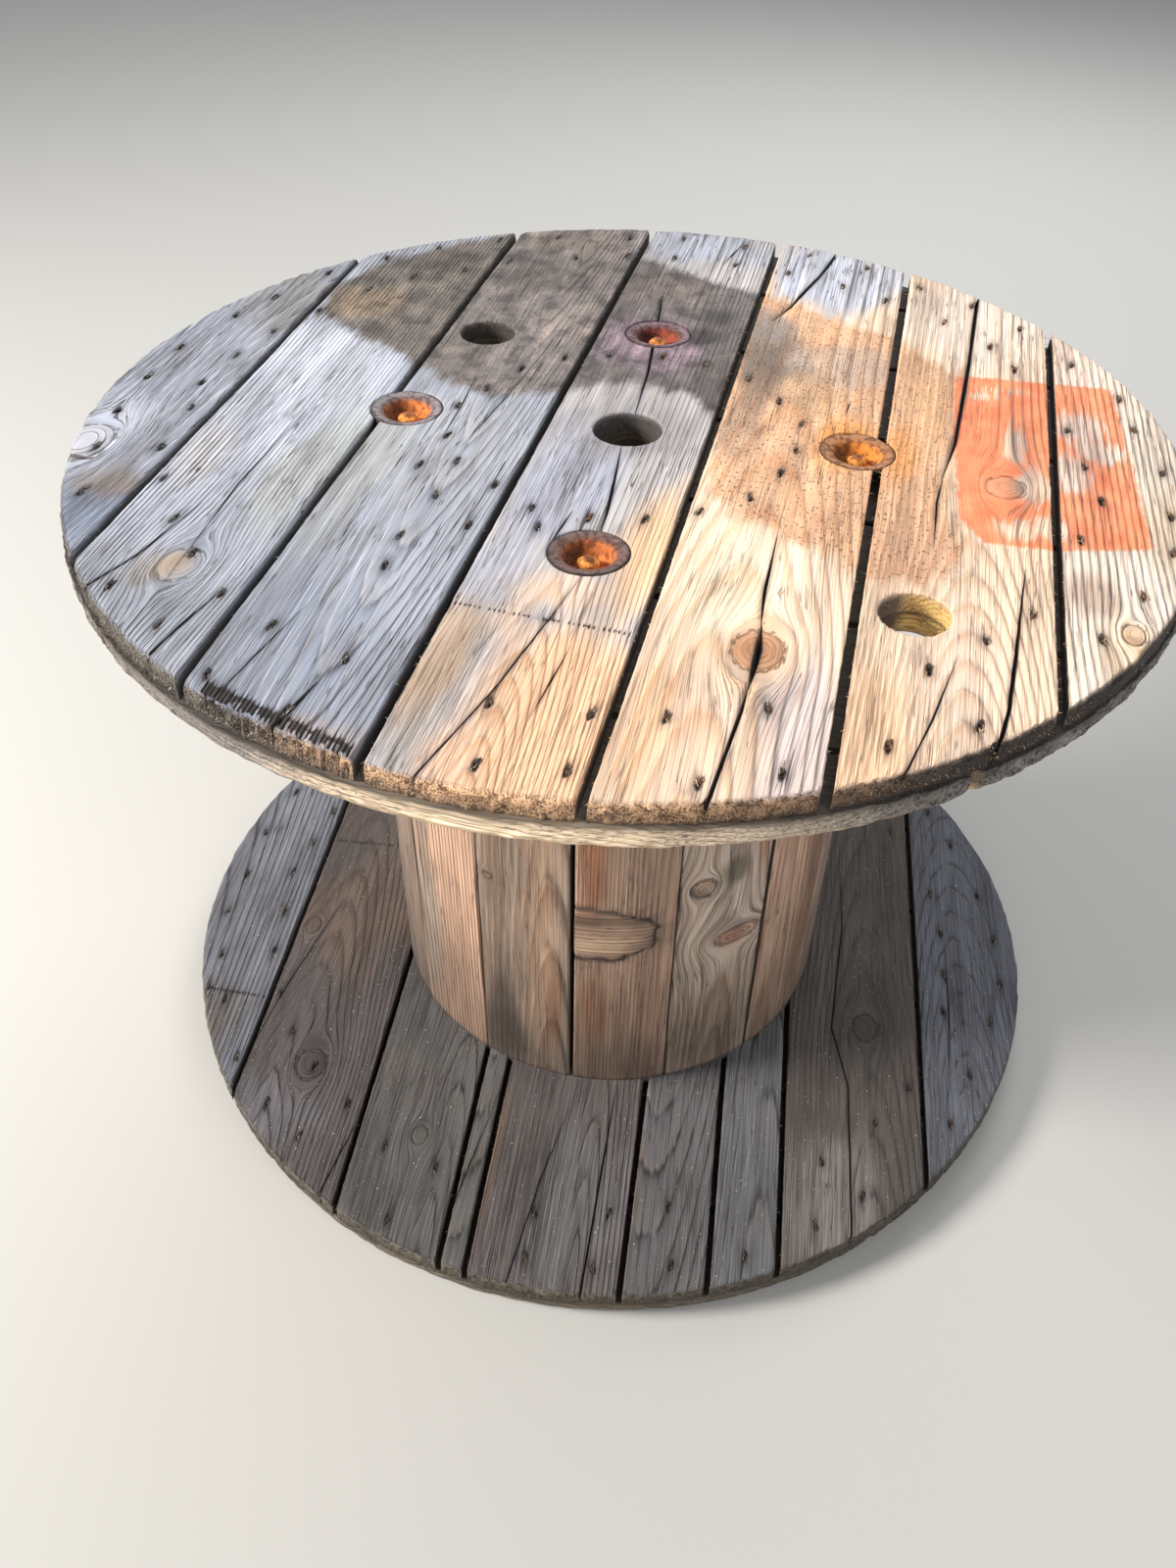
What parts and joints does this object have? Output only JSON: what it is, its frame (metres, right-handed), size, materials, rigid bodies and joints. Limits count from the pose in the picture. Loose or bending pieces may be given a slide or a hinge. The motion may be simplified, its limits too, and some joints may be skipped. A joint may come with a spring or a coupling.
{
  "type": "wooden cable drum",
  "caption": "Wooden cable drum on its end: two round flanges of crossed boards clamped on a barrel of staves by tie bolts, for winding and paying out cable.",
  "frame": {"origin": "centre of the spindle hole at the floor face of the base flange", "axes": "+Z along the drum's axis, from the base to the top; +Y along the outer boards of the top flange"},
  "size_m": [1, 1, 0.7],
  "materials": {
    "top_boards": "weathered sawn softwood, silvered and stained",
    "cross_boards": "weathered sawn softwood",
    "base_boards": "grey weathered sawn softwood",
    "floor_boards": "grey weathered softwood, dusty",
    "staves": "brown planed softwood",
    "rusty_steel": "rusted pressed and drawn steel"
  },
  "bodies": {
    "root": {"top_board_1": "top_boards", "top_board_2": "top_boards", "top_board_3": "top_boards", "top_board_4": "top_boards", "top_board_5": "top_boards", "top_board_6": "top_boards", "top_board_7": "top_boards", "top_cross_board_1": "cross_boards", "top_cross_board_2": "cross_boards", "top_cross_board_3": "cross_boards", "top_cross_board_4": "cross_boards", "top_cross_board_5": "cross_boards", "top_cross_board_6": "cross_boards", "top_cross_board_7": "cross_boards", "base_board_1": "base_boards", "base_board_2": "base_boards", "base_board_3": "base_boards", "base_board_4": "base_boards", "base_board_5": "base_boards", "base_board_6": "base_boards", "base_board_7": "base_boards", "base_board_8": "base_boards", "base_board_9": "base_boards", "base_cross_board_1": "floor_boards", "base_cross_board_2": "floor_boards", "base_cross_board_3": "floor_boards", "base_cross_board_4": "floor_boards", "base_cross_board_5": "floor_boards", "base_cross_board_6": "floor_boards", "base_cross_board_7": "floor_boards", "stave_01": "staves", "stave_02": "staves", "stave_03": "staves", "stave_04": "staves", "stave_05": "staves", "stave_06": "staves", "stave_07": "staves", "stave_08": "staves", "stave_09": "staves", "stave_10": "staves", "stave_11": "staves", "stave_12": "staves", "stave_13": "staves", "stave_14": "staves", "stave_15": "staves", "tie_bolt_1": "rusty_steel", "tie_bolt_2": "rusty_steel", "tie_bolt_3": "rusty_steel", "tie_bolt_4": "rusty_steel", "top_cup_washers": "rusty_steel", "top_nuts": "rusty_steel"}
  },
  "joints": []
}
